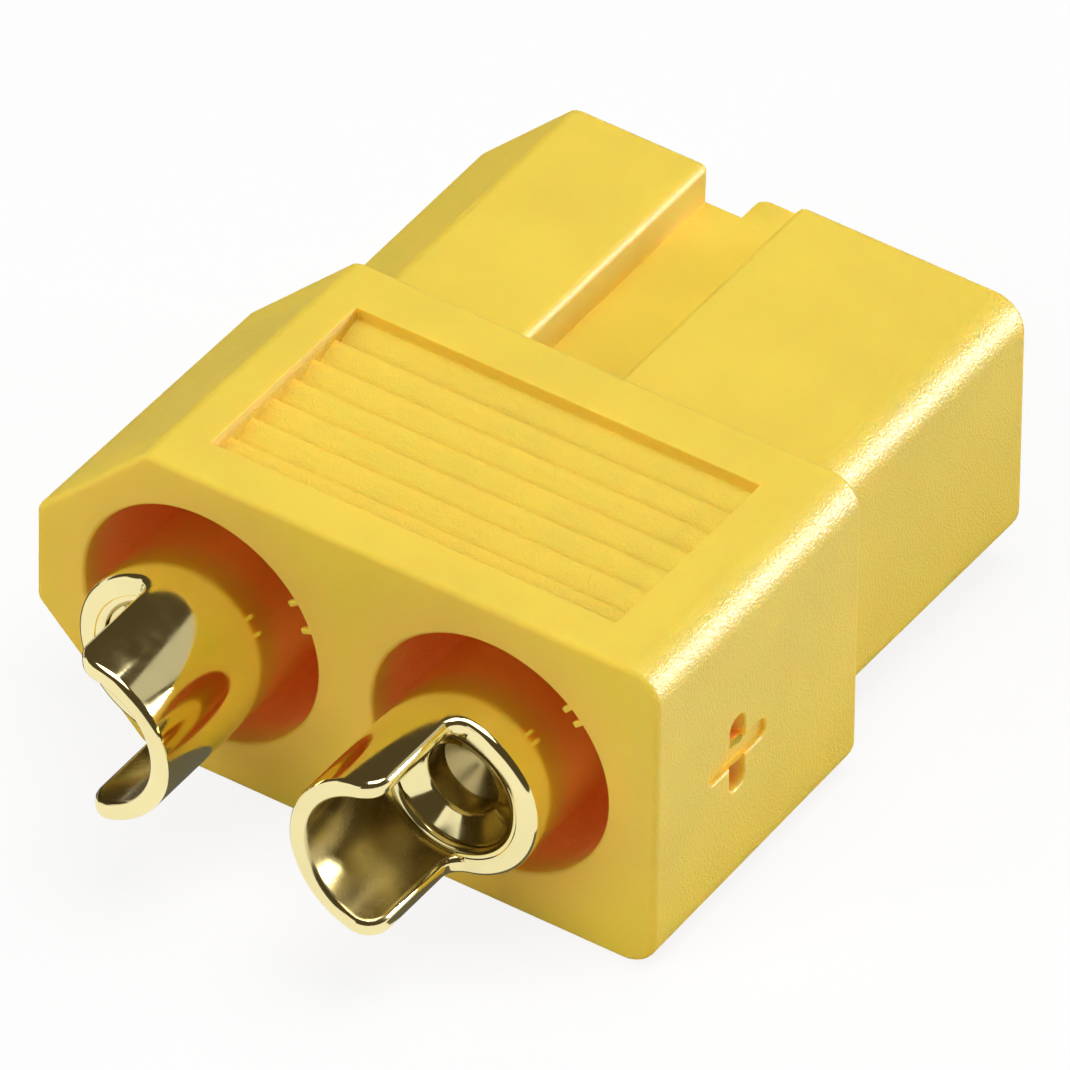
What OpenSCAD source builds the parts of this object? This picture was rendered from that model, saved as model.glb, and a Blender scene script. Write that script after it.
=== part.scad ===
// Two-pole battery lead connector, socket half: a moulded housing with two
// turned, plated contacts, each a pin socket in front and a solder cup behind.
//
// Frame: the housing lies on its lower face, and the origin is the middle of
// the part's footprint. X runs along the width towards the square positive
// end, Y runs towards the mating plug, Z is up. The sub-parts are drawn from
// the rear face, that the solder cups stick out of, and then moved into place.
// Millimetres.

/* [Contacts] */
// Diameter of the pin that the socket takes
pin_d = 3.5; // [2:0.1:5]
// Wall of the socket tube
tube_wall = 0.45; // [0.3:0.05:0.8]
// Depth of the pin socket
socket_depth = 9; // [5:0.5:9.5]
// Diameter of the wire bore in the solder cup
wire_d = 3.4; // [2.4:0.1:4.4]
// Wall of the solder cup
cup_wall = 0.45; // [0.3:0.05:0.8]
// How far the cup's scoop stands out behind the rear face
cup_out = 4.45; // [3:0.05:6]
// How far the closed part of the cup stands out behind the rear face
ring_out = 1.5; // [0.8:0.05:2.5]
// Depth of the wire bore inside the closed part
ring_depth = 1.1; // [0.6:0.05:1.4]
// How far the scoop is cut past the middle of the cup
scoop_past = 0.1; // [0:0.05:0.5]
// Radius at the foot of the scoop
scoop_foot_r = 0.35; // [0.1:0.05:0.8]
// Radius at the end of the scoop
scoop_end_r = 0.6; // [0.2:0.05:0.9]
// Height of the collar above the barrel
collar_step = 0.4; // [0.25:0.05:0.42]
// Length of the collar
collar_l = 1.4; // [0.8:0.1:1.8]
// Included angle of the drill point in both bores
drill_angle = 118; // [90:2:140]

/* [Housing] */
// Length of the grip body
body_l = 8; // [6.5:0.1:12]
// Length of the mating nose
nose_l = 7.7; // [6:0.1:12]
// Web between the two rear pockets
web = 1.4; // [0.8:0.1:4]
// Wall between a pocket and the end of the body
side_wall = 1.25; // [1.1:0.05:3]
// Wall between a pocket and the floor of a grip panel
roof = 0.33; // [0.25:0.01:1.5]
// Leg of the two large corner chamfers of the body
body_chamfer = 2.78; // [1.5:0.02:3]
// Leg of the two large corner chamfers of the nose
nose_chamfer = 2.4; // [1:0.05:2.6]
// Corner radius at the square end
corner_r = 0.8; // [0.3:0.05:1.2]
// Small edge radius at the chamfered end
edge_r = 0.3; // [0.1:0.05:0.6]
// Step from body to nose at the two ends
nose_step_x = 0.95; // [0.4:0.05:1.2]
// Step from body to nose above and below
nose_step_z = 0.8; // [0.4:0.05:1.1]

/* [Rear pockets] */
// Clearance round a solder cup in its pocket
cup_gap = 0.85; // [0.6:0.05:1.5]
// Depth of a pocket
pocket_depth = 3.6; // [2:0.1:4.2]

/* [Contact seats] */
// Radial clearance of the collar in its seat
collar_gap = 0.03; // [0.02:0.01:0.1]
// Radial clearance of the barrel in its bore
barrel_gap = 0.05; // [0.02:0.01:0.15]
// How far the sockets sit behind the face of the nose
front_recess = 0.5; // [0.2:0.1:1.5]
// Lead-in chamfer at the mouth of each socket bore
lead_in = 0.35; // [0.1:0.05:0.6]

/* [Grip panels] */
// Depth of a panel below the face of the body
grip_depth = 0.72; // [0.4:0.02:1]
// Height of the grip ribs
rib_h = 0.24; // [0.1:0.02:0.35]
// Number of grip ribs
rib_n = 7; // [3:1:10]
// Face left behind the panel
grip_rear = 1.15; // [0.6:0.05:2]
// Face left in front of the panel
grip_front = 1.35; // [0.6:0.05:2]
// Face left between the panel and the chamfer
grip_left = 0.95; // [0.5:0.05:2]
// Face left between the panel and the square end
grip_right = 1.85; // [1:0.05:3]

/* [Nose key] */
// Width of the key groove above and below the nose
groove_w = 2.35; // [1.2:0.05:3]
// Depth of the key groove
groove_depth = 1; // [0.5:0.05:1.2]
// Width of the gate stub on the face of the nose
gate_w = 1.2; // [0.4:0.1:1.8]
// Length of the gate stub
gate_l = 0.7; // [0.2:0.05:1]
// Thickness of the gate stub
gate_t = 0.8; // [0.3:0.05:1.5]
// Offset of the gate stub towards the square end
gate_x = 0.3; // [-0.5:0.05:0.5]

/* [Hidden] */

eps = 0.01;
cup_d = wire_d + 2 * cup_wall;
barrel_d = pin_d + 2 * tube_wall;
collar_d = max(cup_d, barrel_d) + 2 * collar_step;
pocket_d = max(cup_d + 2 * cup_gap, collar_d + 2 * collar_gap + 0.2);
pitch = pocket_d + web;
body_w = 2 * pocket_d + web + 2 * side_wall;
body_h = pocket_d + 2 * (roof + grip_depth);
nose_w = body_w - 2 * nose_step_x;
nose_h = body_h - 2 * nose_step_z;
nose_front = body_l + nose_l;
contact_x = pitch / 2;
axis_z = body_h / 2;
collar_front = pocket_depth + collar_l;
contact_front = nose_front - front_recess;
drill_slope = 1 / tan(drill_angle / 2);
rear_y = (cup_out - nose_front - gate_l) / 2;
grip_x0 = -body_w / 2 + body_chamfer + grip_left;
grip_x1 = body_w / 2 - grip_right;
grip_l = body_l - grip_rear - grip_front;
rib_pitch = grip_l / rib_n;
$fn = 96;

// Moves what is drawn from the rear face into the frame of the whole part.
module from_rear_face() {
    translate([0, rear_y, 0])
        children();
}

// Puts a profile drawn in X and Z upright and pulls it along Y from y0 to y1.
module along_y(y0, y1) {
    translate([0, y1, 0])
        rotate([90, 0, 0])
            linear_extrude(y1 - y0)
                children();
}

// Convex outline with each corner rounded by its own radius: the corners are
// cut back to their tangent points and a circle is laid into each.
module rounded_outline(corners, radii) {
    n = len(corners);
    function unit(v) = v / norm(v);
    function to_prev(i) = unit(corners[(i + n - 1) % n] - corners[i]);
    function to_next(i) = unit(corners[(i + 1) % n] - corners[i]);
    function half(i) = acos(to_prev(i) * to_next(i)) / 2;
    function reach(i) = radii[i] / tan(half(i));
    function centre(i) = corners[i] + unit(to_prev(i) + to_next(i)) * radii[i] / sin(half(i));
    polygon([for (i = [0:n - 1], v = [to_prev(i), to_next(i)]) corners[i] + v * reach(i)]);
    for (i = [0:n - 1])
        translate(centre(i))
            circle(r = radii[i]);
}

// Front view of body and nose: square at +X, two 45 degree chamfers at -X.
module shell_outline(w, h, chamfer) {
    rounded_outline(
        [
            [w / 2, -h / 2],
            [w / 2, h / 2],
            [chamfer - w / 2, h / 2],
            [-w / 2, h / 2 - chamfer],
            [-w / 2, chamfer - h / 2],
            [chamfer - w / 2, -h / 2]
        ],
        [corner_r, corner_r, edge_r, edge_r, edge_r, edge_r]
    );
}

// One recessed panel in the upper face. Its ribs are raked: each rises towards
// the nose and drops off square, so fingers that pull rearward catch on them.
module grip_recess() {
    difference() {
        translate([grip_x0, grip_rear, body_h - grip_depth])
            cube([grip_x1 - grip_x0, grip_l, grip_depth + 1]);
        for (i = [0:rib_n - 1])
            translate([grip_x0, grip_rear + i * rib_pitch, body_h - grip_depth])
                rotate([90, 0, 90])
                    linear_extrude(grip_x1 - grip_x0)
                        polygon([[0, -eps], [rib_pitch, -eps], [rib_pitch, rib_h], [0, 0]]);
    }
}

module key_groove() {
    translate([-groove_w / 2, body_l, body_h - nose_step_z - groove_depth])
        cube([groove_w, nose_l + 1, groove_depth + 1]);
}

// Copies what is drawn for the upper face to the lower face as well.
module both_faces() {
    children();
    translate([0, 0, body_h])
        mirror([0, 0, 1])
            children();
}

// The stepped bore that one contact is pushed into from the rear.
module contact_bore() {
    barrel_r = barrel_d / 2 + barrel_gap;
    collar_r = collar_d / 2 + collar_gap;
    rotate([90, 0, 0])
        rotate_extrude()
            polygon([
                [0, 1],
                [pocket_d / 2, 1],
                [pocket_d / 2, -pocket_depth],
                [collar_r, -pocket_depth],
                [collar_r, -collar_front],
                [barrel_r, -collar_front],
                [barrel_r, lead_in - nose_front],
                [barrel_r + lead_in, -nose_front],
                [barrel_r + lead_in, -nose_front - 1],
                [0, -nose_front - 1]
            ]);
}

module gate_stub() {
    translate([gate_x - gate_w / 2, nose_front - eps, body_h - nose_step_z - groove_depth - gate_t])
        cube([gate_w, gate_l + eps, gate_t]);
}

module housing() {
    color([0.9, 0.77, 0.26])
        from_rear_face() difference() {
            union() {
                translate([0, 0, axis_z])
                    along_y(0, body_l)
                        shell_outline(body_w, body_h, body_chamfer);
                translate([0, 0, axis_z])
                    along_y(body_l - 1, nose_front)
                        shell_outline(nose_w, nose_h, nose_chamfer);
                gate_stub();
            }
            both_faces() {
                grip_recess();
                key_groove();
            }
            for (side = [-1, 1])
                translate([side * contact_x, 0, axis_z])
                    contact_bore();
        }
}

// Side view of what the cutter takes off the cup: everything past the middle,
// with a fillet at the foot and a rounded corner at the free end.
module scoop_profile() {
    far = cup_d;
    difference() {
        translate([-scoop_past, -cup_out - 1])
            square([far, cup_out + 1 - ring_out]);
        difference() {
            translate([-scoop_past - eps, -ring_out - scoop_foot_r])
                square([scoop_foot_r + eps, scoop_foot_r + eps]);
            translate([scoop_foot_r - scoop_past, -ring_out - scoop_foot_r])
                circle(r = scoop_foot_r);
        }
    }
    difference() {
        translate([-scoop_past - scoop_end_r, -cup_out - 1])
            square([scoop_end_r + eps, scoop_end_r + 1]);
        translate([-scoop_past - scoop_end_r, -cup_out + scoop_end_r])
            circle(r = scoop_end_r);
    }
}

// Turned part on its own axis, cup opening towards +X.
module contact() {
    difference() {
        rotate([90, 0, 0])
            rotate_extrude()
                polygon([
                    [0, ring_out - ring_depth - wire_d / 2 * drill_slope],
                    [wire_d / 2, ring_out - ring_depth],
                    [wire_d / 2, cup_out],
                    [cup_d / 2, cup_out],
                    [cup_d / 2, -pocket_depth],
                    [collar_d / 2, -pocket_depth],
                    [collar_d / 2, -collar_front],
                    [barrel_d / 2, -collar_front],
                    [barrel_d / 2, -contact_front],
                    [pin_d / 2, -contact_front],
                    [pin_d / 2, socket_depth - contact_front],
                    [0, socket_depth - contact_front + pin_d / 2 * drill_slope]
                ]);
        translate([0, 0, -cup_d])
            linear_extrude(2 * cup_d)
                scoop_profile();
    }
}

module positive_contact() {
    color([0.86, 0.7, 0.33])
        from_rear_face() translate([contact_x, 0, axis_z])
            contact();
}

// The same turned part, pushed in the other way round.
module negative_contact() {
    color([0.86, 0.7, 0.33])
        from_rear_face() translate([-contact_x, 0, axis_z])
            rotate([0, 180, 0])
                contact();
}

housing();
positive_contact();
negative_contact();
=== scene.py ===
"""Models and lights a two-pole battery lead connector.

A moulded nylon housing holds two turned, gold-plated contacts with open solder cups.
"""

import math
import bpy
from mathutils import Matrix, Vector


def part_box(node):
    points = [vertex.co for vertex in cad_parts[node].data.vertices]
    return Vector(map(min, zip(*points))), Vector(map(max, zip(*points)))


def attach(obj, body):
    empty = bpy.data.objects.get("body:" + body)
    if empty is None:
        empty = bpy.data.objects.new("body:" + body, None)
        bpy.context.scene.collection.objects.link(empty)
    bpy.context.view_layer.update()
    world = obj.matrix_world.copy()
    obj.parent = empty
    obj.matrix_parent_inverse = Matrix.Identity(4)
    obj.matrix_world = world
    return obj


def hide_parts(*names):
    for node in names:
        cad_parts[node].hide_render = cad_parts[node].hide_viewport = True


bl_info = {
    "name": "Battery lead connector",
    "version": (1, 0, 0),
    "blender": (4, 5, 0),
    "location": "3D View > Sidebar > Connector",
    "description": "Builds a two-pole battery lead connector with its finishes and studio",
    "category": "Add Mesh",
}

import bmesh
import bpy
from bpy.props import FloatProperty, FloatVectorProperty, IntProperty, PointerProperty
from mathutils import Matrix, Vector

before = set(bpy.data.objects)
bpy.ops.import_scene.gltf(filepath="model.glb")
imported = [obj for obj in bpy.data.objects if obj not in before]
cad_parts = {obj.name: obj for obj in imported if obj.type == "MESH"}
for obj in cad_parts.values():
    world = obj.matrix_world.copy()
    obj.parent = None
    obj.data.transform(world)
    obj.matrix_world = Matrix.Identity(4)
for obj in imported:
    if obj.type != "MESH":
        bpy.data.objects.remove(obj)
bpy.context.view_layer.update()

MM = 0.001
SHELL_LOW, SHELL_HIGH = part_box("housing")
CUP_LOW, CUP_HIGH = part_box("positive_contact")
REAR = SHELL_LOW[1]
MIDDLE = (SHELL_LOW[2] + SHELL_HIGH[2]) / 2
POLE = (CUP_LOW[0] + CUP_HIGH[0]) / 2

TURNING_STEPS = 128  # steps round a turned part
PAST = 1.0 * MM  # how far a cutter reaches past the face that it opens
MERGE = 0.0005 * MM  # points closer than this become one

# Places along the housing are measured from its rear face
NOSE_START = 4 * MM  # the nose block starts inside the body
PANEL_START, PANEL_END = 1.15 * MM, 6.65 * MM
PANEL_LEFT, PANEL_RIGHT = 0.95 * MM, 1.85 * MM  # from the chamfers and from the square end
SIGN_ALONG, SIGN_HEIGHT = 3.2 * MM, 3.88 * MM  # middle of both polarity signs
COLLAR_LENGTH = 1.4 * MM  # of a contact's collar and of its seat in the housing
SEAT_RADIUS, BARREL_BORE = 2.63 * MM, 2.25 * MM
LEAD_IN = 0.35 * MM  # depth and height of the chamfer at the front of a bore
CHAMFER_EASE, GATE_EASE, PANEL_EASE, CREST_EASE = 0.14 * MM, 0.05 * MM, 0.03 * MM, 0.05 * MM
SIGN_EASE, POCKET_EASE, MOUTH_EASE, LUG_EASE = 0.06 * MM, 0.1 * MM, 0.06 * MM, 0.03 * MM

# One grip rib, as parts of its pitch and of its height: a rounded slope and an upright drop
RIB = [(0, 0), (0.3, 0.42), (0.6, 0.76), (0.85, 0.95), (1, 1), (1, 0)]


def length(name, text, default):
    """A length property, shown with enough digits for hundredths of a millimetre."""
    return FloatProperty(name=name, description=text, default=default, unit="LENGTH", precision=5)


def angle(name, text, default):
    """An angle property, its default given in degrees."""
    return FloatProperty(name=name, description=text, default=math.radians(default), subtype="ANGLE")


def power(name, text, default):
    """A property for the power of a lamp."""
    return FloatProperty(name=name, description=text, default=default, unit="POWER")


def colour(name, text, default):
    """A colour property without alpha."""
    return FloatVectorProperty(
        name=name, description=text, default=default, subtype="COLOR", size=3, min=0, max=1
    )


class HousingSizes(bpy.types.PropertyGroup):
    """Sizes of the moulded housing."""

    width: length("Width", "Body width at the rear face", SHELL_HIGH[0] - SHELL_LOW[0])
    height: length("Height", "Body height at the rear face", SHELL_HIGH[2] - SHELL_LOW[2])
    body: length("Body length", "Rear face to the step", 8.0 * MM)
    reach: length("Overall length", "Rear face to the nose face", 15.7 * MM)
    body_chamfer: length("Body chamfer", "Leg of the large corner chamfers of the body", 2.78 * MM)
    nose_chamfer: length("Nose chamfer", "Leg of the large corner chamfers of the nose", 2.4 * MM)
    step_side: length("Side step", "Step from body to nose at the ends", 0.95 * MM)
    step_face: length("Face step", "Step from body to nose above and below", 0.8 * MM)
    corner: length("Corner radius", "Rounding at the square end", 0.8 * MM)
    ease: length("Eased edge", "Rounding of the outer edges", 0.16 * MM)
    nose_ease: length("Eased nose edge", "Rounding of the nose's front and groove edges", 0.2 * MM)
    draft_side: length("Side draft", "How much each end draws in over the body", 0.13 * MM)
    draft_face: length("Face draft", "How much each face draws in over the body", 0.067 * MM)
    groove: length("Groove width", "Width of the key groove", 2.35 * MM)
    groove_depth: length("Groove depth", "Depth of the key groove", 1.0 * MM)
    panel_depth: length("Panel depth", "Depth of the grip panel", 0.72 * MM)
    rib: length("Rib height", "Height of one grip rib", 0.32 * MM)
    ribs: IntProperty(name="Ribs", description="Ribs in a grip panel", default=7, min=1)
    pocket: length("Pocket radius", "Radius of the pocket round a solder cup", 3.0 * MM)
    pocket_depth: length("Pocket depth", "Depth of the pocket", 3.6 * MM)
    sign_depth: length("Sign depth", "How deep the polarity signs are sunk", 0.6 * MM)
    sign_stroke: length("Sign stroke", "Width of the bar of a polarity sign", 0.5 * MM)


class ContactSizes(bpy.types.PropertyGroup):
    """Sizes of a turned contact."""

    cup: length("Cup radius", "Outer radius of the solder cup", 2.15 * MM)
    bore: length("Cup bore radius", "Radius of the wire bore", 1.7 * MM)
    throat: length("Throat radius", "Radius inside the lip of the ring", 1.47 * MM)
    hole: length("Hole radius", "Radius of the small hole in the bottom of the cup", 0.88 * MM)
    out: length("Cup reach", "How far the cup stands out", 4.45 * MM)
    ring: length("Ring reach", "How far the closed ring stands out", 1.5 * MM)
    collar: length("Collar radius", "Radius of the collar", 2.6 * MM)
    barrel: length("Barrel radius", "Outer radius of the socket", 2.2 * MM)
    pin: length("Socket radius", "Inner radius of the socket", 1.75 * MM)
    rim: length("Rim rounding", "Rounding of the cut rims", 0.16 * MM)
    foot: length("Foot", "Fillet where the cut meets the ring", 0.35 * MM)
    end: length("Free end", "Rounding of the corners of the free end", 0.6 * MM)
    past_axis: length("Cut", "How far past the axis the open side is cut", 0.1 * MM)
    twist: angle("Left twist", "How far the left contact sits off true", 5)
    twist_right: angle("Right twist", "How far the right contact sits off true", 0)


class Finishes(bpy.types.PropertyGroup):
    """Colours of the two finishes."""

    nylon: colour("Nylon", "Moulded housing", (0.81, 0.592, 0.060))
    # Painted shade: a deeper orange put on the pocket walls, in the plus and round the pockets, standing
    # in for shade and for light through the thin walls
    nylon_painted_shade: colour(
        "Painted shade nylon", "Painted shade in the pockets, the plus and round the pockets", (1.0, 0.44, 0.14)
    )
    # Painted glow: an emission on the pocket walls that stands in for light coming through them
    nylon_painted_glow: colour("Painted glow", "Painted glow for light through the pocket walls", (1.0, 0.13, 0.005))
    gold: colour("Gold", "Plating of the contacts", (0.93, 0.815, 0.42))
    # Darker gold in the bores: painted shade in the small hole, and a darker tone in the cup's open bore
    gold_bore_darkened: colour("Gold in the bores", "Darker gold inside the bores, painted shade in the small hole", (0.5, 0.4, 0.17))


class StudioSizes(bpy.types.PropertyGroup):
    """Lamps and camera."""

    top_power: power("Overhead lamp", "Power of the overhead softbox", 0.37)
    side_power: power("Side lamp", "Power of the softbox beyond the square end", 0.3)
    strip_power: power("Strip", "Power of the strip that lights the rounded edge", 2.4)
    card_power: power("Card", "Power of the pale card that shows in the gold", 0.05)
    fill_power: power("Fill lamp", "Power of the fill behind the cups", 0.37)
    ambient: FloatProperty(
        name="Room light", description="Strength of the even room light", default=0.25, min=0
    )
    lens: FloatProperty(name="Lens", description="Focal length in millimetres", default=1013.4)


# Helpers for modelling by selection


def object_mode():
    """Leaves edit mode and deselects everything."""
    if bpy.context.object and bpy.context.object.mode != "OBJECT":
        bpy.ops.object.mode_set(mode="OBJECT")
    bpy.ops.object.select_all(action="DESELECT")


def pick(piece):
    """Makes the piece the active one and the only one selected, in object mode."""
    object_mode()
    piece.select_set(True)
    bpy.context.view_layer.objects.active = piece


def edit(piece):
    """Makes the piece the only selected one and enters edit mode with nothing selected in it."""
    pick(piece)
    bpy.ops.object.mode_set(mode="EDIT")
    bpy.ops.mesh.select_all(action="DESELECT")


def pick_all():
    """Selects the whole of the mesh that is being edited."""
    bpy.ops.mesh.select_all(action="SELECT")


def close_edit():
    """Turns every face of the mesh that is being edited outwards and goes back to object mode."""
    pick_all()
    bpy.ops.mesh.normals_make_consistent(inside=False)
    object_mode()


def named(name):
    """The primitive just added, with its name and with its place kept in its mesh."""
    piece = bpy.context.object
    piece.name = piece.data.name = name
    bpy.ops.object.transform_apply(location=True, rotation=True, scale=True)
    return piece


def block(name, low, high):
    """A box between two corners."""
    object_mode()
    middle = [(a + b) / 2 for a, b in zip(low, high)]
    size = [b - a for a, b in zip(low, high)]
    bpy.ops.mesh.primitive_cube_add(size=1, location=middle, scale=size)
    return named(name)


def own_copy(piece, name):
    """A copy of the piece with a mesh of its own."""
    copy = piece.copy()
    copy.data = piece.data.copy()
    copy.name = copy.data.name = name
    bpy.context.collection.objects.link(copy)
    return copy


def pick_edges(piece, test, sharp):
    """Selects and counts the edges at least that sharp, in degrees, that pass test(one end, other end)."""
    bpy.ops.mesh.select_mode(type="EDGE")
    bpy.ops.mesh.select_all(action="DESELECT")
    shape = bmesh.from_edit_mesh(piece.data)
    shape.normal_update()
    found = [edge for edge in shape.edges if test(edge.verts[0].co, edge.verts[1].co)]
    found = [edge for edge in found if edge.calc_face_angle(math.pi) >= math.radians(sharp)]
    for edge in found:
        edge.select_set(True)
    shape.select_flush_mode()
    bmesh.update_edit_mesh(piece.data)
    return len(found)


def pick_faces(piece, test):
    """Selects the faces whose centre passes the test."""
    bpy.ops.mesh.select_mode(type="FACE")
    bpy.ops.mesh.select_all(action="DESELECT")
    shape = bmesh.from_edit_mesh(piece.data)
    for face in shape.faces:
        if test(face.calc_center_median()):
            face.select_set(True)
    bmesh.update_edit_mesh(piece.data)


def near(a, b, slack=0.004 * MM):
    """Whether two lengths are the same but for rounding."""
    return abs(a - b) < slack


def both(test):
    """The test for an edge that holds when the test for a point holds at both ends."""
    return lambda a, b: test(a) and test(b)


def round_edges(piece, test, radius, segments=4, sharp=20):
    """Rounds the sharp edges that pass the test. No such edge is an error."""
    if not pick_edges(piece, test, sharp):
        raise RuntimeError("no edge to round on " + piece.name)
    bpy.ops.mesh.bevel(
        offset_type="OFFSET",
        offset=radius,
        segments=segments,
        profile=0.5,
        affect="EDGES",
        clamp_overlap=False,
    )


def apply_modifier(piece, name, kind, **settings):
    """Adds a modifier with its settings and applies it."""
    pick(piece)
    change = piece.modifiers.new(name, kind)
    for key, value in settings.items():
        setattr(change, key, value)
    bpy.ops.object.modifier_apply(modifier=change.name)


def combine(piece, tool, operation):
    """Cuts the tool from the piece or joins it on, and removes the tool."""
    settings = {"operation": operation, "object": tool, "solver": "EXACT"}
    apply_modifier(piece, operation.lower(), "BOOLEAN", **settings)
    bpy.data.objects.remove(tool)


def cut_both_faces(piece, cutter):
    """Cuts the cutter from the upper face and its mirror image from the lower one."""
    below = own_copy(cutter, cutter.name + "_below")
    edit(below)
    pick_all()
    bpy.ops.transform.resize(value=(1, 1, -1), center_override=(0, 0, MIDDLE))
    close_edit()
    combine(piece, cutter, "DIFFERENCE")
    combine(piece, below, "DIFFERENCE")


def pull(shift):
    """Extrudes what is selected."""
    bpy.ops.mesh.extrude_region_move(TRANSFORM_OT_translate={"value": shift})


def turn_about_pole(turn, x):
    """Turns what is selected about the axis of the pole at x."""
    bpy.ops.transform.rotate(value=turn, orient_axis="Y", center_override=(x, 0, MIDDLE))


def trace(name, points):
    """Draws a chain of edges by pulling one vertex from point to point."""
    object_mode()
    points = [Vector(point) for point in points]
    bpy.ops.mesh.primitive_plane_add(size=MM, location=points[0])
    piece = named(name)
    bpy.ops.object.mode_set(mode="EDIT")
    bpy.ops.mesh.select_mode(type="VERT")
    pick_all()
    bpy.ops.mesh.merge(type="CENTER")
    for start, end in zip(points, points[1:]):
        pull(end - start)
    return piece


def arc(centre, radius, start, end, steps):
    """Points on an arc, angles in degrees."""
    turns = [math.radians(start + (end - start) * i / steps) for i in range(steps + 1)]
    return [(centre[0] + radius * math.cos(t), centre[1] + radius * math.sin(t)) for t in turns]


def lathe(name, outline, x):
    """Turns an outline of (radius, depth from the rear face) round a pole's axis."""
    piece = trace(name, [(x + r, REAR + y, MIDDLE) for r, y in outline])
    pick_all()
    axis = {"center": (x, 0, MIDDLE), "axis": (0, 1, 0)}
    bpy.ops.mesh.spin(steps=TURNING_STEPS, angle=math.tau, use_auto_merge=True, **axis)
    pick_all()
    bpy.ops.mesh.remove_doubles(threshold=MERGE)
    close_edit()
    return piece


def prism(name, outline, shift):
    """Fills an outline and pulls it into a solid."""
    piece = trace(name, outline)
    pick_all()
    bpy.ops.mesh.edge_face_add()
    pull(shift)
    close_edit()
    return piece


def check_closed(piece):
    """Raises an error if an edge of the piece doesn't lie between exactly two faces."""
    shape = bmesh.new()
    shape.from_mesh(piece.data)
    count = sum(1 for edge in shape.edges if len(edge.link_faces) != 2)
    shape.free()
    if count:
        raise RuntimeError("%d open edges on %s" % (count, piece.name))


def finish_piece(piece, cad_node, finish):
    """Smooths the piece, gives it its finish and lets it stand for its CAD node."""
    if cad_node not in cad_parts:
        raise RuntimeError("the frame has no node " + cad_node)
    pick(piece)
    bpy.ops.object.shade_smooth_by_angle(angle=math.radians(32))
    apply_modifier(piece, "even shading", "WEIGHTED_NORMAL", keep_sharp=True, weight=80)
    piece.data.materials.clear()
    piece.data.materials.append(finish)
    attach(piece, "root")
    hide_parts(cad_node)


# The housing


def shell(name, low, high, chamfer, corner, draft_x, draft_z):
    """A block with two large chamfers at one end and two rounded corners at the other.

    It draws in towards the front by the two drafts.
    """
    piece = block(name, low, high)
    edit(piece)

    def along(a, b):
        return near(a.x, b.x) and near(a.z, b.z) and not near(a.y, b.y)

    round_edges(piece, lambda a, b: along(a, b) and near(a.x, low[0]), chamfer, 1)
    round_edges(piece, lambda a, b: along(a, b) and near(a.x, high[0]), corner, 8)
    left = low[0] + chamfer + 0.01 * MM
    round_edges(piece, lambda a, b: along(a, b) and a.x < left, CHAMFER_EASE, 4)
    pick_faces(piece, lambda c: near(c.y, high[1]))
    bpy.ops.transform.resize(
        value=(1 - 2 * draft_x / (high[0] - low[0]), 1, 1 - 2 * draft_z / (high[2] - low[2])),
        center_override=((low[0] + high[0]) / 2, high[1], (low[2] + high[2]) / 2),
    )
    object_mode()
    return piece


def grooved_nose(s, low, high, groove_floor):
    """The nose, with a key groove along its upper and its lower face."""
    nose = shell("nose", low, high, s.nose_chamfer, s.corner, 0.0, 0.0)
    half = s.groove / 2
    groove_high = (half, high[1] + PAST, high[2] + s.step_face + PAST)
    groove = block("groove", (-half, low[1] - PAST, groove_floor), groove_high)
    cut_both_faces(nose, groove)
    edit(nose)

    def front_or_groove_rim(a, b):
        at_front = near(a.y, high[1]) and near(b.y, high[1])
        rim = near(abs(a.x), half) and near(a.x, b.x) and near(a.z, b.z)
        return at_front or (rim and abs(a.z - MIDDLE) > groove_floor - MIDDLE + 0.1 * MM)

    round_edges(nose, front_or_groove_rim, s.nose_ease, 4)
    return nose


def gate_stub(face, top):
    """The stub that the moulding leaves on the nose face, just below the key groove's floor."""
    front = face + 0.7 * MM
    gate = block("gate", (-0.3 * MM, face - 0.4 * MM, top - 0.8 * MM), (0.9 * MM, front, top))
    edit(gate)
    round_edges(gate, lambda a, b: near(a.y, b.y) and near(a.y, front) and near(a.x, b.x), 0.25 * MM)
    round_edges(gate, both(lambda c: near(c.z, top)), GATE_EASE, 2)
    return gate


def grip_cutter(s, low_x, high_x, low_y, high_y):
    """The cutter for a grip panel: one raked rib, repeated along the panel and pulled up."""
    pitch = (high_y - low_y) / s.ribs
    floor = MIDDLE + s.height / 2 - s.panel_depth
    rise = 2 * MM
    piece = trace("grip_cutter", [(low_x, low_y + along * pitch, floor + up * s.rib) for along, up in RIB])
    row = {
        "use_relative_offset": False,
        "use_constant_offset": True,
        "constant_offset_displace": (0, pitch, 0),
        "count": s.ribs,
        "use_merge_vertices": True,
        "merge_threshold": 0.001 * MM,
    }
    apply_modifier(piece, "row", "ARRAY", **row)
    edit(piece)
    bpy.ops.mesh.select_mode(type="VERT")
    shape = bmesh.from_edit_mesh(piece.data)
    last = max(shape.verts, key=lambda v: (v.co.y, -v.co.z))
    if near(last.co.z, floor):
        bmesh.ops.delete(shape, geom=[last], context="VERTS")
        bmesh.update_edit_mesh(piece.data)
    pick_all()
    pull((high_x - low_x, 0, 0))
    pick_all()
    pull((0, 0, rise))
    bpy.ops.transform.resize(value=(1, 1, 0), center_override=(0, 0, floor + rise))
    close_edit()
    return piece


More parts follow.
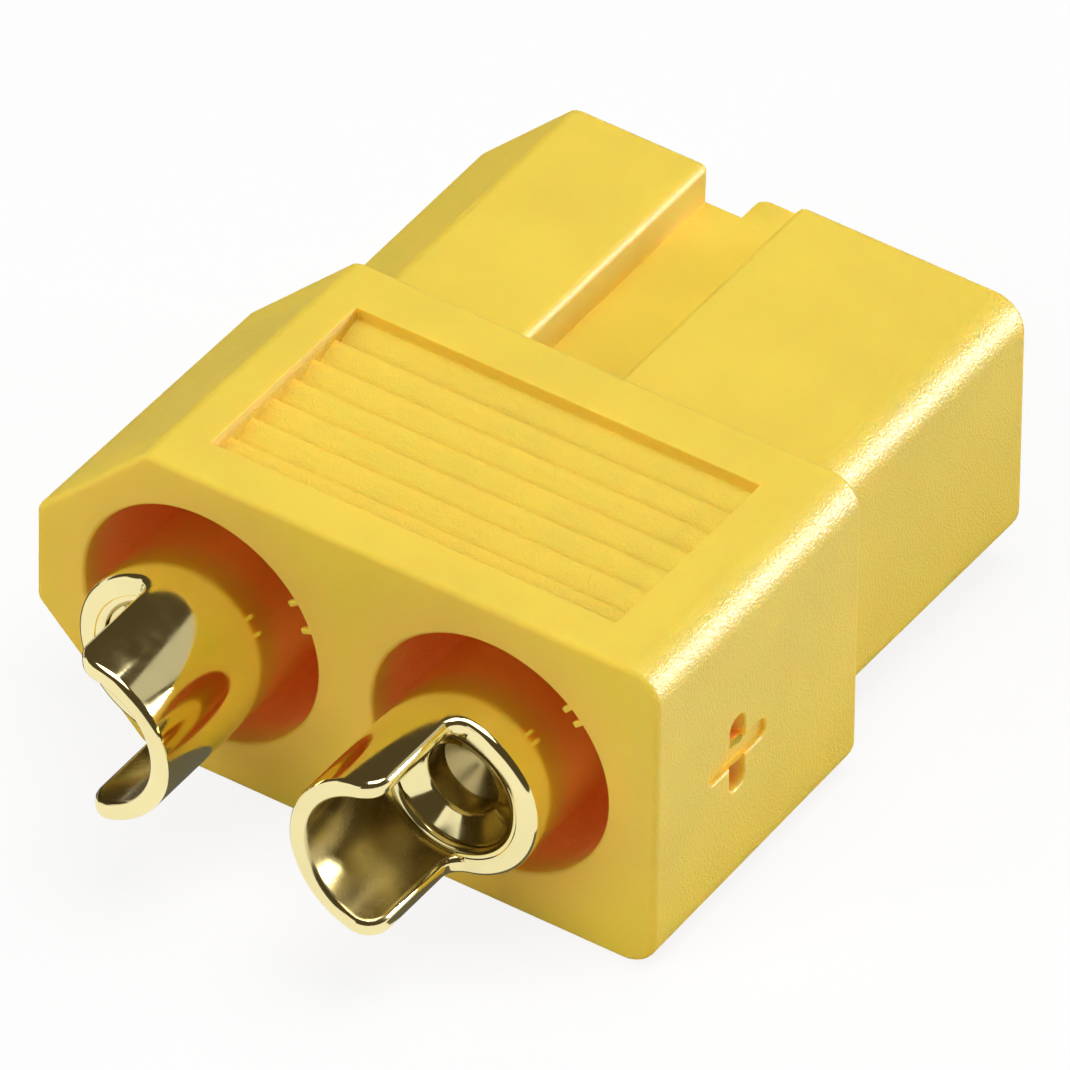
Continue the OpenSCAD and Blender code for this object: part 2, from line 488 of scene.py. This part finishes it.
def cut_grip_panels(housing, s):
    """Cuts a ribbed grip panel into each face and eases the panels' rims and the ribs' crests."""
    half, face = s.width / 2, s.height / 2
    low_x, high_x = -half + s.body_chamfer + PANEL_LEFT, half - PANEL_RIGHT
    low_y, high_y = REAR + PANEL_START, REAR + PANEL_END
    cut_both_faces(housing, grip_cutter(s, low_x, high_x, low_y, high_y))
    crest = face - s.panel_depth + s.rib
    slack = 0.01 * MM
    edit(housing)

    def on_rim(c):
        over_panel = low_x - slack < c.x < high_x + slack and low_y - slack < c.y < high_y + slack
        return over_panel and abs(c.z - MIDDLE) > face - 0.1 * MM

    on_crest = both(lambda c: near(abs(c.z - MIDDLE), crest))
    round_edges(housing, both(on_rim), PANEL_EASE, 2)
    round_edges(housing, lambda a, b: on_crest(a, b) and near(a.y, b.y), CREST_EASE, 2)


def sign_cutters(s, x, arms):
    """The cutters for a polarity sign in an end: a shallow bar along Y.

    For the plus there is also a deep upright slot, which leaves the bar standing as a ledge.
    """
    y, z = REAR + SIGN_ALONG, SIGN_HEIGHT
    bar, upright = (1.1 * MM, s.sign_stroke / 2), (0.29 * MM, 1.0 * MM)

    def slot(name, depth, size, corner):
        low_x, high_x = (x - depth, x + PAST) if x > 0 else (x - PAST, x + depth)
        cutter = block(name, (low_x, y - size[0], z - size[1]), (high_x, y + size[0], z + size[1]))
        edit(cutter)
        round_edges(cutter, lambda a, b: not near(a.x, b.x), corner, 5)
        object_mode()
        return cutter

    cutters = [slot("sign_bar", s.sign_depth / (3 if arms else 1.5), bar, 0.2 * MM)]
    if arms:
        cutters.append(slot("sign_upright", s.sign_depth, upright, 0.25 * MM))
        ledge = block("sign_ledge", (x - MM, y - MM, z - bar[1]), (x + 2 * MM, y + MM, z + bar[1]))
        combine(cutters[1], ledge, "DIFFERENCE")
    return cutters


def cut_signs(housing, s):
    """Sinks the plus into the square end and the minus into the chamfered one."""
    y, z = REAR + SIGN_ALONG, SIGN_HEIGHT
    around = 1.3 * MM
    for x, arms in ((s.width / 2, True), (-s.width / 2, False)):
        for cutter in sign_cutters(s, x, arms):
            combine(housing, cutter, "DIFFERENCE")
        edit(housing)

        def on_rim(c):
            return abs(c.x - x) < 0.1 * MM and abs(c.y - y) < around and abs(c.z - z) < around

        round_edges(housing, both(on_rim), SIGN_EASE, 3, 40)


def cut_bores(housing, s):
    """Cuts the stepped bore at each pole and eases its two mouths."""
    seat_end = s.pocket_depth + COLLAR_LENGTH
    mouth = BARREL_BORE + LEAD_IN
    face = REAR + s.reach
    outline = [
        (0, -PAST),
        (s.pocket, -PAST),
        (s.pocket, s.pocket_depth),
        (SEAT_RADIUS, s.pocket_depth),
        (SEAT_RADIUS, seat_end),
        (BARREL_BORE, seat_end),
        (BARREL_BORE, s.reach - LEAD_IN),
        (mouth, s.reach),
        (mouth, s.reach + PAST),
        (0, s.reach + PAST),
    ]
    for side in (-1, 1):
        combine(housing, lathe("bore_cutter", outline, side * POLE), "DIFFERENCE")
    edit(housing)

    def from_pole(c):
        return math.hypot(abs(c.x) - POLE, c.z - MIDDLE)

    at_pocket = both(lambda c: near(c.y, REAR) and near(from_pole(c), s.pocket))
    at_mouth = both(lambda c: near(c.y, face) and from_pole(c) < mouth + 0.1 * MM)
    round_edges(housing, at_pocket, POCKET_EASE, 3)
    round_edges(housing, at_mouth, MOUTH_EASE, 3)


def lug(side, degrees):
    """A small lug on a pocket's wall near its rim, turned about the pole from the X axis."""
    x = side * POLE
    inner, rear, half = x + 2.76 * MM, REAR + 0.04 * MM, 0.07 * MM
    piece = block("lug", (inner, rear, MIDDLE - half), (x + 3.1 * MM, REAR + 0.16 * MM, MIDDLE + half))
    edit(piece)
    inner_wall = inner + 0.04 * MM
    round_edges(piece, lambda a, b: min(a.x, b.x) < inner_wall or near(a.y, rear), LUG_EASE, 3)
    pick_all()
    turn_about_pole(math.radians(degrees), x)
    object_mode()
    return piece


class CONNECTOR_OT_housing(bpy.types.Operator):
    """Models the moulded housing with its pockets, panels, grooves and signs"""

    bl_idname = "connector.housing"
    bl_label = "Housing"

    def execute(self, context):
        s = context.scene.connector_housing
        half = s.width / 2
        low_z, high_z = MIDDLE - s.height / 2, MIDDLE + s.height / 2
        step, face = REAR + s.body, REAR + s.reach
        low, high = (-half, REAR, low_z), (half, step, high_z)
        housing = shell("housing_shell", low, high, s.body_chamfer, s.corner, s.draft_side, s.draft_face)
        edit(housing)
        round_edges(housing, both(lambda c: near(c.y, REAR)), s.ease, 4)
        round_edges(housing, both(lambda c: near(c.y, step)), s.ease, 4)
        low = (-half + s.step_side, REAR + NOSE_START, low_z + s.step_face)
        high = (half - s.step_side, face, high_z - s.step_face)
        groove_floor = high[2] - s.groove_depth
        combine(housing, grooved_nose(s, low, high, groove_floor), "UNION")
        combine(housing, gate_stub(face, groove_floor - 0.03 * MM), "UNION")
        cut_grip_panels(housing, s)
        cut_signs(housing, s)
        cut_bores(housing, s)
        for side, turns in ((1, (48.4, 40.5)), (-1, (36, 22))):
            for degrees in turns:
                combine(housing, lug(side, degrees), "UNION")
        finish_piece(housing, "housing", nylon(context.scene.connector_finishes, s))
        return {"FINISHED"}


# The contacts


def cup_strip(s, joint):
    """The wall of the cup: a flat strip with a tongue, its free edges rounded, rolled round the pole."""
    middle = (s.cup + s.bore) / 2
    wall = s.cup - s.bore
    half = math.pi * middle
    tongue = middle * (math.pi / 2 + math.asin(s.past_axis / middle))
    ring, free, foot, end = -s.ring, -s.out, s.foot, s.end
    outline = [(-half, joint), (-half, ring)]
    outline += arc((-tongue - foot, ring - foot), foot, 90, 0, 8)
    outline += arc((-tongue + end, free + end), end, 180, 270, 10)
    outline += arc((tongue - end, free + end), end, 270, 360, 10)
    outline += arc((tongue + foot, ring - foot), foot, 180, 90, 8)
    outline += [(half, ring), (half, joint)]
    strip = prism("cup_wall", [(-wall / 2, y, across) for across, y in outline], (wall, 0, 0))
    edit(strip)

    def free_rim(a, b):
        ends = near(a.y, joint) and near(b.y, joint) or near(abs(a.z), half) and near(abs(b.z), half)
        lip = a.x > 0 and near(a.y, ring) and near(b.y, ring) and abs(a.z) > tongue
        return near(a.x, b.x) and not ends and not lip

    round_edges(strip, free_rim, s.rim, 5, 50)
    pick_faces(strip, lambda c: near(c.y, joint) or near(abs(c.z), half))
    bpy.ops.mesh.delete(type="ONLY_FACE")
    for i in range(1, TURNING_STEPS):
        pick_all()
        place = half * (2 * i / TURNING_STEPS - 1)
        bpy.ops.mesh.bisect(plane_co=(0, 0, place), plane_no=(0, 0, 1), threshold=0.00002 * MM)
    apply_modifier(strip, "roll", "SIMPLE_DEFORM", deform_method="BEND", deform_axis="Y", angle=math.tau)
    edit(strip)
    pick_all()
    bpy.ops.mesh.delete_loose(use_verts=True, use_edges=True, use_faces=False)
    xs = [v.co.x for v in strip.data.vertices]
    zs = [v.co.z for v in strip.data.vertices]
    shift = (POLE - (min(xs) + max(xs)) / 2, REAR, MIDDLE - (min(zs) + max(zs)) / 2)
    pick_all()
    bpy.ops.transform.translate(value=shift)
    object_mode()
    return strip


def cup_floor_outline(s, joint):
    """Half section of the bottom of the cup: a drilled hole, a cone round it and a rounded lip."""
    lip = -s.ring + 0.012 * MM
    hole, throat = s.hole, s.throat
    start = lip + 0.2 * MM
    edge = start + (throat - hole) * math.tan(math.radians(24))
    return [
        (0, edge + 1.05 * MM),
        (0.32 * MM, edge + 0.86 * MM),
        (hole - 0.04 * MM, edge + 0.6 * MM),
        (hole, edge + 0.5 * MM),
        (hole, edge + 0.08 * MM),
        (hole + 0.02 * MM, edge + 0.025 * MM),
        (hole + 0.07 * MM, edge - 0.02 * MM),
        (throat - 0.04 * MM, start + 0.02 * MM),
        (throat, start - 0.02 * MM),
        (throat, lip + 0.15 * MM),
        (throat + 0.011 * MM, lip + 0.093 * MM),
        (throat + 0.044 * MM, lip + 0.044 * MM),
        (throat + 0.093 * MM, lip + 0.011 * MM),
        (throat + 0.15 * MM, lip),
        (s.bore - 0.03 * MM, lip),
        (s.bore, lip + 0.03 * MM),
        (s.bore, joint),
    ]


def barrel_outline(s, joint):
    """Half section from the cup over the collar to the drill point of the pin socket."""
    seat, tip, bottom = 3.6 * MM, 15.2 * MM, 6.2 * MM
    seat_end = seat + COLLAR_LENGTH
    ease = 0.1 * MM
    drill_point = s.pin / math.tan(math.radians(59))
    return [
        (s.cup, joint),
        (s.cup, 0),
        (s.cup, seat),
        (s.collar - ease, seat),
        (s.collar, seat + ease),
        (s.collar, seat_end - ease),
        (s.collar - ease, seat_end),
        (s.barrel, seat_end),
        (s.barrel, tip - 0.12 * MM),
        (s.barrel - 0.04 * MM, tip - 0.03 * MM),
        (s.barrel - 0.12 * MM, tip),
        (s.pin + 0.2 * MM, tip),
        (s.pin, tip - 0.2 * MM),
        (s.pin, bottom),
        (0, bottom - drill_point),
    ]


class CONNECTOR_OT_contacts(bpy.types.Operator):
    """Makes one contact from its turned parts and its open cup, and copies it for the other pole"""

    bl_idname = "connector.contacts"
    bl_label = "Contacts"

    def execute(self, context):
        s = context.scene.connector_contacts
        gold = gold_plate(context.scene.connector_finishes, s)
        joint = -s.ring + 0.2 * MM
        cup = cup_strip(s, joint)
        floor = lathe("cup_floor", cup_floor_outline(s, joint), POLE)
        positive = lathe("positive_turned_contact", barrel_outline(s, joint), POLE)
        object_mode()
        for part in (cup, floor, positive):
            part.select_set(True)
        context.view_layer.objects.active = positive
        bpy.ops.object.join()
        edit(positive)
        pick_all()
        bpy.ops.mesh.remove_doubles(threshold=2 * MERGE)
        bpy.ops.mesh.normals_make_consistent(inside=False)
        pick_all()
        turn_about_pole(s.twist_right, POLE)
        object_mode()
        check_closed(positive)
        negative = own_copy(positive, "negative_turned_contact")
        edit(negative)
        pick_all()
        bpy.ops.transform.translate(value=(-2 * POLE, 0, 0))
        turn_about_pole(math.pi + s.twist - s.twist_right, -POLE)
        object_mode()
        finish_piece(positive, "positive_contact", gold)
        finish_piece(negative, "negative_contact", gold)
        return {"FINISHED"}


# Finishes


def set_inputs(tree, made, inputs):
    """Sets or links a node's inputs, by socket name or number."""
    for key, value in inputs.items():
        if isinstance(value, bpy.types.NodeSocket):
            tree.links.new(value, made.inputs[key])
        else:
            made.inputs[key].default_value = value


def node(tree, kind, inputs, **settings):
    """A node with its settings and inputs."""
    made = tree.nodes.new("ShaderNode" + kind)
    for key, value in settings.items():
        setattr(made, key, value)
    set_inputs(tree, made, inputs)
    return made


def maths(tree, operation, *values):
    """The result of a Math node."""
    return node(tree, "Math", dict(enumerate(values)), operation=operation).outputs[0]


def fade(tree, value, start, end):
    """0 where the value is at start or before, 1 where it is at end or beyond."""
    return node(tree, "MapRange", {"Value": value, "From Min": start, "From Max": end}).outputs[0]


def blend(tree, amount, first, second):
    """The first colour, going over to the second by an amount."""
    return node(tree, "Mix", {0: amount, 6: first, 7: second}, data_type="RGBA").outputs[2]


def tinted(tree, tint, amount):
    """A colour made lighter or darker by an amount."""
    return node(tree, "VectorMath", {0: tuple(tint), "Scale": amount}, operation="SCALE").outputs[0]


def new_group(name, inputs, output):
    """A shader node group with named sockets, with what its start node gives and its end node takes."""
    tree = bpy.data.node_groups.new(name, "ShaderNodeTree")
    for label, kind in inputs:
        tree.interface.new_socket(label, in_out="INPUT", socket_type="NodeSocket" + kind)
    tree.interface.new_socket(output, in_out="OUTPUT", socket_type="NodeSocketFloat")
    return tree, tree.nodes.new("NodeGroupInput").outputs, tree.nodes.new("NodeGroupOutput").inputs[output]


def patches_group(name):
    """Uneven patches between two values."""
    inputs = [("Vector", "Vector"), ("Size", "Float"), ("Low", "Float"), ("High", "Float")]
    tree, given, result = new_group(name, inputs, "Value")
    field = {"Vector": given["Vector"], "Scale": given["Size"], "Detail": 2.0, "Roughness": 0.6}
    cloud = node(tree, "TexNoise", field).outputs["Fac"]
    limits = {"From Min": 0.32, "From Max": 0.68, "To Min": given["Low"], "To Max": given["High"]}
    spread = node(tree, "MapRange", {"Value": cloud, **limits})
    tree.links.new(spread.outputs["Result"], result)
    return tree


def pole_group(name):
    """A mask that is 0 further than Outer from the nearer pole's axis and 1 nearer than Inner."""
    inputs = [("Vector", "Vector"), ("Outer", "Float"), ("Inner", "Float")]
    tree, given, result = new_group(name, inputs, "Mask")
    axis = node(tree, "SeparateXYZ", {"Vector": given["Vector"]}).outputs
    across = maths(tree, "SUBTRACT", maths(tree, "ABSOLUTE", axis["X"]), POLE)
    above = maths(tree, "SUBTRACT", axis["Z"], MIDDLE)
    flat = node(tree, "CombineXYZ", {"X": across, "Y": above}).outputs[0]
    radius = node(tree, "VectorMath", {0: flat}, operation="LENGTH").outputs["Value"]
    tree.links.new(fade(tree, radius, given["Outer"], given["Inner"]), result)
    return tree


def effect(tree, name, maker, **inputs):
    """The result of a shared effect, whose node group is made when it is first used."""
    made = tree.nodes.new("ShaderNodeGroup")
    made.node_tree = bpy.data.node_groups.get(name) or maker(name)
    set_inputs(tree, made, inputs)
    return made.outputs[0]


def patches(tree, place, size, low, high):
    """Uneven patches of that fineness, from low to high."""
    return effect(tree, "uneven patches", patches_group, Vector=place, Size=size, Low=low, High=high)


def near_pole(tree, place, outer, inner):
    """A mask round both poles that fades in from the outer to the inner radius."""
    return effect(tree, "near a pole", pole_group, Vector=place, Outer=outer, Inner=inner)


def bare_material(name):
    """A new material without nodes, and its node tree."""
    made = bpy.data.materials.new(name)
    made.use_nodes = True
    made.node_tree.nodes.clear()
    return made, made.node_tree


def material(name):
    """A new material with only its output and its Principled shader."""
    made, tree = bare_material(name)
    shader = node(tree, "BsdfPrincipled", {})
    node(tree, "OutputMaterial", {"Surface": shader.outputs["BSDF"]})
    return made, tree, shader


def deep_mask(tree, place, along, s):
    """1 on the walls of the pockets, fading in behind their rims, where the painted shade and the painted
    glow go.
    """
    inside = near_pole(tree, place, s.pocket + 0.03 * MM, s.pocket + 0.01 * MM)
    depth = fade(tree, along, REAR + 0.02 * MM, REAR + 0.9 * MM)
    in_pocket = maths(tree, "LESS_THAN", along, REAR + s.pocket_depth + 0.02 * MM)
    return maths(tree, "MULTIPLY", maths(tree, "MULTIPLY", inside, depth), in_pocket)


def painted_shade_mask(tree, place, axis, deep, s):
    """How far the nylon goes over to its painted shade colour, which stands in for shade and for light
    through the thin pocket walls.

    That is fully in the pockets, half in the plus and a little on the rear face round the pockets.
    """
    on_rear = maths(tree, "LESS_THAN", axis["Y"], REAR + 0.03 * MM)
    close = near_pole(tree, place, 4.6 * MM, s.pocket)
    # Painted shade and glow on the rear face round the pockets
    painted_shade = maths(tree, "MULTIPLY_ADD", maths(tree, "MULTIPLY", on_rear, close), 0.28, deep)
    sign_y = maths(tree, "COMPARE", axis["Y"], REAR + SIGN_ALONG, 0.42 * MM)
    sign_z = maths(tree, "COMPARE", axis["Z"], SIGN_HEIGHT, 1.25 * MM)
    sign_x = maths(tree, "COMPARE", axis["X"], SHELL_HIGH[0] - 0.45 * MM, 0.23 * MM)
    in_sign = maths(tree, "MULTIPLY", maths(tree, "MULTIPLY", sign_y, sign_z), sign_x)
    # Painted shade at half strength in the slots of the plus
    return maths(tree, "MINIMUM", maths(tree, "MULTIPLY_ADD", in_sign, 0.5, painted_shade), 1.0)


def grain_mask(tree, axis, s):
    """1 where the mould is spark-eroded: the square end of body and nose, and the grip panels."""
    on_nose = maths(tree, "GREATER_THAN", axis["Y"], REAR + s.body + 0.01 * MM)
    across = maths(tree, "MULTIPLY_ADD", on_nose, s.step_side, axis["X"])
    end = fade(tree, across, SHELL_HIGH[0] - 0.9 * MM, SHELL_HIGH[0] - 0.5 * MM)
    face = SHELL_HIGH[2] - MIDDLE
    height = maths(tree, "ABSOLUTE", maths(tree, "SUBTRACT", axis["Z"], MIDDLE))
    sunk = fade(tree, height, face - 0.1 * MM, face - 0.25 * MM)
    middle, half = (PANEL_START + PANEL_END) / 2, (PANEL_END - PANEL_START) / 2
    over_panel = maths(tree, "COMPARE", axis["Y"], REAR + middle, half + 0.05 * MM)
    return maths(tree, "MAXIMUM", end, maths(tree, "MULTIPLY", over_panel, sunk))


def nylon(finish, s):
    """Yellow moulded nylon: fine grain, slight clouding, with painted shade and a painted glow in the
    pockets, and painted shade in the plus and round the pockets.
    """
    made, tree, shader = material("moulded nylon")
    place = node(tree, "TexCoord", {}).outputs["Object"]
    axis = node(tree, "SeparateXYZ", {"Vector": place}).outputs
    deep = deep_mask(tree, place, axis["Y"], s)
    painted_shade = painted_shade_mask(tree, place, axis, deep, s)
    coarse = grain_mask(tree, axis, s)
    clouded = tinted(tree, finish.nylon, patches(tree, place, 260.0, 0.96, 1.03))
    roughness = maths(tree, "MULTIPLY_ADD", coarse, -0.13, patches(tree, place, 14000.0, 0.5, 0.66))
    field = {"Vector": place, "Scale": 16000.0, "Detail": 1.0, "Roughness": 0.6}
    grain = node(tree, "TexNoise", field).outputs["Fac"]
    height = maths(tree, "MULTIPLY", grain, maths(tree, "MULTIPLY_ADD", coarse, 0.93, 0.07))
    bump = node(tree, "Bump", {"Height": height, "Strength": 0.8, "Distance": 0.03 * MM})
    looks = {
        # Painted shade goes into the base colour and a painted glow into the emission
        "Base Color": blend(tree, painted_shade, clouded, (*finish.nylon_painted_shade, 1)),
        "Emission Color": blend(tree, deep, (0, 0, 0, 1), (*finish.nylon_painted_glow, 1)),
        "Emission Strength": 0.07,
        "Roughness": roughness,
        "Normal": bump.outputs[0],
        "Subsurface Weight": 1.0,
        "Subsurface Radius": (1.0, 0.3, 0.05),
        "Subsurface Scale": 0.4 * MM,
        "IOR": 1.5,
    }
    set_inputs(tree, shader, looks)
    shader.subsurface_method = "BURLEY"
    return made


def gold_plate(finish, s):
    """Bright gold plating over turned brass, darker in the bores with painted shade in the small hole,
    with faint rings from the tool.
    """
    made, tree, shader = material("gold plating")
    place = node(tree, "TexCoord", {}).outputs["Object"]
    along = node(tree, "SeparateXYZ", {"Vector": place}).outputs["Y"]
    # Painted shade in the small hole and a darker tone in the cup's open bore, through the bored mask
    beyond_ring = maths(tree, "LESS_THAN", along, REAR - s.ring - 0.03 * MM)
    in_scoop = maths(tree, "MULTIPLY", near_pole(tree, place, s.bore + 0.06 * MM, s.bore), beyond_ring)
    in_hole = near_pole(tree, place, s.hole + 0.05 * MM, s.hole - 0.02 * MM)
    bored = maths(tree, "MAXIMUM", in_scoop, in_hole)
    clouds = patches(tree, place, 420.0, 0.95, 1.03)
    tones = {0: bored, 4: tinted(tree, finish.gold, clouds), 5: tinted(tree, finish.gold_bore_darkened, clouds)}
    roughness = maths(tree, "MULTIPLY_ADD", bored, 0.16, patches(tree, place, 1500.0, 0.06, 0.14))
    field = {"Vector": place, "Scale": 2600.0, "Distortion": 1.5, "Detail": 2.0}
    rings = node(tree, "TexWave", field, wave_type="BANDS", bands_direction="Y").outputs["Fac"]
    bump = node(tree, "Bump", {"Height": rings, "Strength": 0.03, "Distance": 0.002 * MM})
    looks = {
        "Base Color": node(tree, "Mix", tones, data_type="VECTOR").outputs[1],
        "Metallic": 1.0,
        "Roughness": roughness,
        "Normal": bump.outputs[0],
    }
    set_inputs(tree, shader, looks)
    return made


# The studio


def viewer_rays(tree):
    """1 for rays from the camera, off a mirror or through glass, and 0 for all others."""
    path = node(tree, "LightPath", {}).outputs
    seen = maths(tree, "MAXIMUM", path["Is Camera Ray"], path["Is Glossy Ray"])
    return maths(tree, "MAXIMUM", seen, path["Is Transmission Ray"])


def lamp(name, place, size, strength):
    """A soft rectangular lamp that looks at the connector and doesn't show."""
    object_mode()
    bpy.ops.object.light_add(type="AREA", location=place)
    made = bpy.context.object
    made.name = name
    made.data.shape = "RECTANGLE"
    made.data.size, made.data.size_y = size
    made.data.energy = strength
    aim = Vector((0, 0, MIDDLE)) - Vector(place)
    made.rotation_euler = aim.to_track_quat("-Z", "Y").to_euler()
    made.visible_camera = False
    return made


def light_up(s):
    """The five lamps."""
    lamp("overhead softbox", (0.03, 0.02, 0.25), (0.16, 0.16), s.top_power)
    lamp("side softbox", (0.222, 0.186, 0.078), (0.1, 0.09), s.side_power)
    strip = lamp("bright strip", (0.222, 0.186, 0.085), (0.08, 0.09), s.strip_power)
    card = lamp("soft card", (0.14, 0.21, 0.19), (0.2, 0.16), s.card_power)
    strip.visible_diffuse = card.visible_diffuse = False
    fill = lamp("fill lamp", (-0.105, -0.21, 0.185), (0.2, 0.2), s.fill_power)
    fill.visible_glossy = False


def room(ambient):
    """A world that is white to viewers, and an even, weaker light for everything else."""
    world = bpy.data.worlds.new("studio room")
    world.use_nodes = True
    tree = world.node_tree
    tree.nodes.clear()
    level = node(tree, "MapRange", {"Value": viewer_rays(tree), "To Min": ambient, "To Max": 1.0})
    back = node(tree, "Background", {"Color": (1, 1, 1, 1), "Strength": level.outputs[0]})
    node(tree, "OutputWorld", {"Surface": back.outputs[0]})
    return world


def paper():
    """Matt paper that is nearly white to viewers and still takes the connector's shadow."""
    made, tree = bare_material("studio paper")
    matt = node(tree, "BsdfDiffuse", {"Color": (0.85, 0.85, 0.85, 1)})
    white = node(tree, "Emission", {"Color": (1, 1, 1, 1), "Strength": 1.0})
    amount = maths(tree, "MULTIPLY", viewer_rays(tree), 0.85)
    both_kinds = node(tree, "MixShader", {"Fac": amount, 1: matt.outputs[0], 2: white.outputs[0]})
    node(tree, "OutputMaterial", {"Surface": both_kinds.outputs[0]})
    return made


def show_in_reflections(piece, name, tint, strength):
    """Makes a stage piece an even glow that shows only in reflections."""
    made, tree = bare_material(name)
    glow = node(tree, "Emission", {"Color": (*tint, 1), "Strength": strength})
    node(tree, "OutputMaterial", {"Surface": glow.outputs[0]})
    piece.data.materials.append(made)
    piece.visible_camera = piece.visible_diffuse = False
    piece.visible_shadow = piece.visible_transmission = False


def half_tent():
    """A half round tent, open low on the rear side towards the chamfered end."""
    object_mode()
    bpy.ops.mesh.primitive_uv_sphere_add(segments=48, ring_count=24, radius=0.5, location=(0, 0, 0))
    made = bpy.context.object
    made.name = "studio_tent"
    edit(made)
    pick_faces(made, lambda c: c.z < 0 or c.z < 0.22 and c.y < -0.05 and c.x < 0.02)
    bpy.ops.mesh.delete(type="FACE")
    object_mode()
    return made


def camera(lens):
    """The camera, turned from the rear towards the square end and looking down."""
    azimuth, elevation, roll = math.radians(33.33), math.radians(40.32), math.radians(0.836)
    distance = 642.65 * MM
    target = Vector((0.506 * MM, 0.529 * MM, 4.05 * MM))
    flat = math.cos(elevation)
    back = Vector((math.sin(azimuth) * flat, -math.cos(azimuth) * flat, math.sin(elevation)))
    right = Vector((math.cos(azimuth), math.sin(azimuth), 0))
    up = back.cross(right)
    cos, sin = math.cos(roll), math.sin(roll)
    right, up = cos * right + sin * up, cos * up - sin * right
    bpy.ops.object.camera_add(location=target + back * distance)
    made = bpy.context.object
    made.name = "studio_camera"
    made.data.sensor_width = 36
    made.data.lens = lens
    made.rotation_euler = Matrix((right, up, back)).transposed().to_euler()
    return made


class CONNECTOR_OT_studio(bpy.types.Operator):
    """Sets up the pale floor, the soft lamps and the camera"""

    bl_idname = "connector.studio"
    bl_label = "Studio"

    def execute(self, context):
        s, scene = context.scene.connector_studio, context.scene
        scene.view_settings.view_transform = "Standard"
        light_up(s)
        scene.world = room(s.ambient)

        object_mode()
        bpy.ops.mesh.primitive_plane_add(size=3.0, location=(0, 0, 0))
        floor = context.object
        floor.name = "studio_floor"
        floor.data.materials.append(paper())

        tent = half_tent()
        show_in_reflections(tent, "dark cloth", (1, 0.78, 0.45), 0.075)

        # Painted shadow: a dim sheet under the connector, seen only in reflections, that stands in for the
        # floor's shade round it
        mat = block("studio_shadow_sheet", (-0.035, REAR - 2 * MM, 0.04 * MM), (9.5 * MM, 0.035, 0.06 * MM))
        show_in_reflections(mat, "painted floor shadow", (1, 0.93, 0.8), 0.13)

        scene.camera = camera(s.lens)
        return {"FINISHED"}


class CONNECTOR_PT_panel(bpy.types.Panel):
    """Lists the steps that build the connector."""

    bl_idname = "CONNECTOR_PT_panel"
    bl_label = "Battery lead connector"
    bl_space_type = "VIEW_3D"
    bl_region_type = "UI"
    bl_category = "Connector"

    def draw(self, context):
        for step in STEPS:
            self.layout.operator(step.bl_idname)


STEPS = (CONNECTOR_OT_housing, CONNECTOR_OT_contacts, CONNECTOR_OT_studio)
SETTINGS = {
    "connector_housing": HousingSizes,
    "connector_contacts": ContactSizes,
    "connector_finishes": Finishes,
    "connector_studio": StudioSizes,
}
CLASSES = (*SETTINGS.values(), *STEPS, CONNECTOR_PT_panel)


def register():
    for cls in CLASSES:
        bpy.utils.register_class(cls)
    for name, cls in SETTINGS.items():
        setattr(bpy.types.Scene, name, PointerProperty(type=cls))


def unregister():
    for name in SETTINGS:
        delattr(bpy.types.Scene, name)
    for cls in reversed(CLASSES):
        bpy.utils.unregister_class(cls)


def main():
    """Builds the connector and its studio."""
    register()
    bpy.ops.connector.housing()
    bpy.ops.connector.contacts()
    bpy.ops.connector.studio()


if __name__ == "__main__":
    main()
